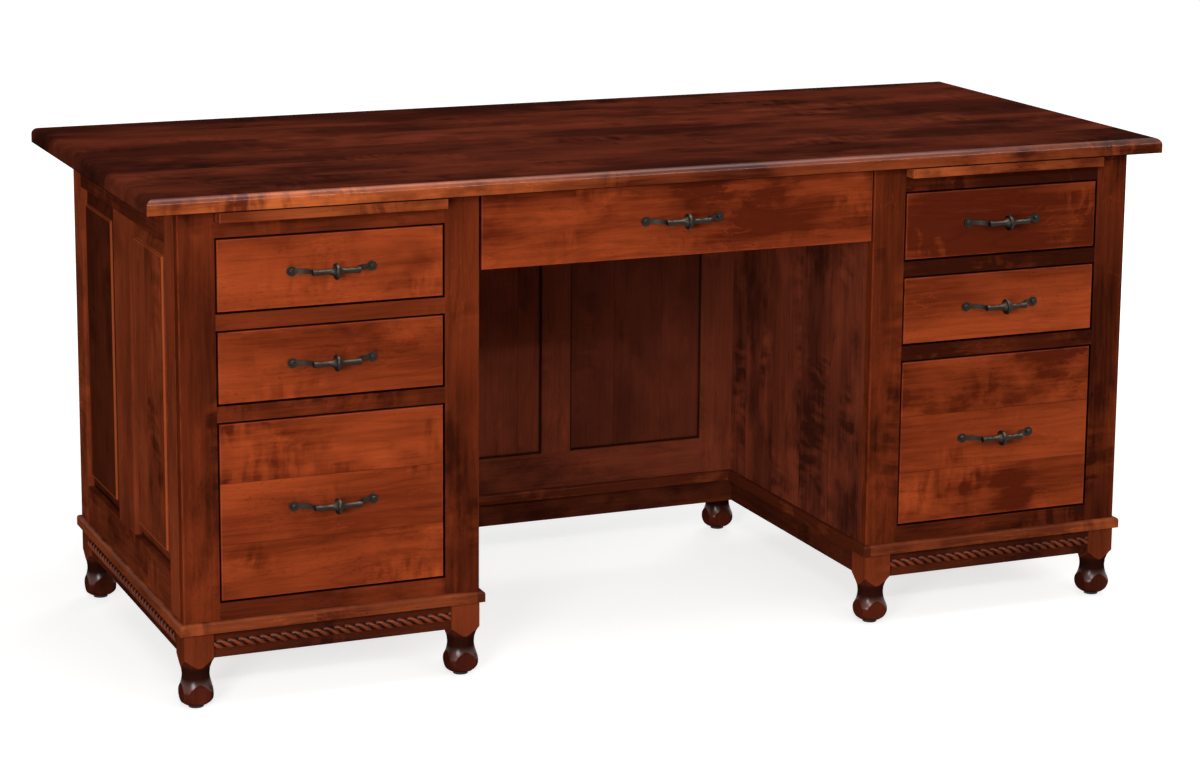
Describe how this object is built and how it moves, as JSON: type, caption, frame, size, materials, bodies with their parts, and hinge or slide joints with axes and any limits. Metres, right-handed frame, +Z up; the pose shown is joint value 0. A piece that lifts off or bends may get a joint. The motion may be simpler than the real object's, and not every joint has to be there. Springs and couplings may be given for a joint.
{
  "type": "executive desk",
  "caption": "Wooden executive desk with drawer pedestals, a centre drawer over the kneehole, pull-out writing boards, raised end panels, rope-twist base strips and turned feet.",
  "frame": {"origin": "on the floor, under the middle of the whole desk's box", "axes": "+X to the right as the drawers are faced, +Y from the drawers towards the visitor's side, +Z up"},
  "size_m": [1.676, 0.7416, 0.768],
  "materials": {
    "top_wood": "dark red-brown stained maple, satin lacquer",
    "front_wood": "orange-brown stained maple, satin lacquer",
    "case_wood": "red-brown stained maple, satin lacquer",
    "drawer_wood": "clear lacquered maple",
    "inner_wood": "unfinished wood",
    "pull_metal": "dark gunmetal over a casting",
    "slide_steel": "zinc plated",
    "glide_plastic": "moulded"
  },
  "bodies": {
    "case": {"desktop": "top_wood", "left_face_frame": "case_wood", "right_face_frame": "case_wood", "left_end_frame": "case_wood", "right_end_frame": "case_wood", "left_end_panels": "case_wood", "right_end_panels": "case_wood", "left_base_moulding": "case_wood", "right_base_moulding": "case_wood", "back_frames": "case_wood", "back_panels": "case_wood", "modesty_frame": "case_wood", "modesty_panels": "case_wood", "knee_panels": "case_wood", "pedestal_floors": "inner_wood", "top_cleats": "inner_wood", "writing_board_runners": "inner_wood", "rear_base_moulding": "case_wood", "left_aprons": "case_wood", "right_aprons": "case_wood", "rear_apron": "case_wood", "rope_mouldings": "case_wood", "feet": "case_wood", "foot_glides": "glide_plastic", "cabinet_slide_members": "slide_steel", "slide_spacers": "inner_wood"},
    "left_top_drawer": {"left_top_drawer_front": "front_wood", "left_top_drawer_pull": "pull_metal", "left_top_drawer_box": "drawer_wood", "left_top_drawer_slides": "slide_steel"},
    "left_middle_drawer": {"left_middle_drawer_front": "front_wood", "left_middle_drawer_pull": "pull_metal", "left_middle_drawer_box": "drawer_wood", "left_middle_drawer_slides": "slide_steel"},
    "left_file_drawer_mid_members": {"left_file_drawer_mid_slides": "slide_steel"},
    "left_file_drawer": {"left_file_drawer_front": "front_wood", "left_file_drawer_pull": "pull_metal", "left_file_drawer_box": "drawer_wood", "left_file_drawer_slides": "slide_steel", "left_file_drawer_hang_rails": "slide_steel"},
    "right_top_drawer": {"right_top_drawer_front": "front_wood", "right_top_drawer_pull": "pull_metal", "right_top_drawer_box": "drawer_wood", "right_top_drawer_slides": "slide_steel"},
    "right_middle_drawer": {"right_middle_drawer_front": "front_wood", "right_middle_drawer_pull": "pull_metal", "right_middle_drawer_box": "drawer_wood", "right_middle_drawer_slides": "slide_steel"},
    "right_file_drawer_mid_members": {"right_file_drawer_mid_slides": "slide_steel"},
    "right_file_drawer": {"right_file_drawer_front": "front_wood", "right_file_drawer_pull": "pull_metal", "right_file_drawer_box": "drawer_wood", "right_file_drawer_slides": "slide_steel", "right_file_drawer_hang_rails": "slide_steel"},
    "centre_drawer": {"centre_drawer_front": "front_wood", "centre_drawer_pull": "pull_metal", "centre_drawer_box": "drawer_wood", "centre_drawer_slides": "slide_steel"},
    "left_writing_board": {"left_writing_board": "front_wood"},
    "right_writing_board": {"right_writing_board": "front_wood"}
  },
  "joints": [
    {"name": "left_top_drawer_travel", "type": "slide", "parent": "case", "child": "left_top_drawer", "axis": [0, -1, 0], "range_m": [0, 0.38]},
    {"name": "left_middle_drawer_travel", "type": "slide", "parent": "case", "child": "left_middle_drawer", "axis": [0, -1, 0], "range_m": [0, 0.38]},
    {"name": "left_file_drawer_travel", "type": "slide", "parent": "case", "child": "left_file_drawer", "axis": [0, -1, 0], "range_m": [0, 0.5]},
    {"name": "left_file_drawer_mid_travel", "type": "slide", "parent": "case", "child": "left_file_drawer_mid_members", "axis": [0, -1, 0], "range_m": [0, 0.25]},
    {"name": "right_top_drawer_travel", "type": "slide", "parent": "case", "child": "right_top_drawer", "axis": [0, -1, 0], "range_m": [0, 0.38]},
    {"name": "right_middle_drawer_travel", "type": "slide", "parent": "case", "child": "right_middle_drawer", "axis": [0, -1, 0], "range_m": [0, 0.38]},
    {"name": "right_file_drawer_travel", "type": "slide", "parent": "case", "child": "right_file_drawer", "axis": [0, -1, 0], "range_m": [0, 0.5]},
    {"name": "right_file_drawer_mid_travel", "type": "slide", "parent": "case", "child": "right_file_drawer_mid_members", "axis": [0, -1, 0], "range_m": [0, 0.25]},
    {"name": "centre_drawer_travel", "type": "slide", "parent": "case", "child": "centre_drawer", "axis": [0, -1, 0], "range_m": [0, 0.32]},
    {"name": "left_writing_board_travel", "type": "slide", "parent": "case", "child": "left_writing_board", "axis": [0, -1, 0], "range_m": [0, 0.36]},
    {"name": "right_writing_board_travel", "type": "slide", "parent": "case", "child": "right_writing_board", "axis": [0, -1, 0], "range_m": [0, 0.36]}
  ],
  "couplings": [
    {"joint": "left_file_drawer_mid_travel", "follows": "left_file_drawer_travel", "ratio": 0.5},
    {"joint": "right_file_drawer_mid_travel", "follows": "right_file_drawer_travel", "ratio": 0.5}
  ]
}
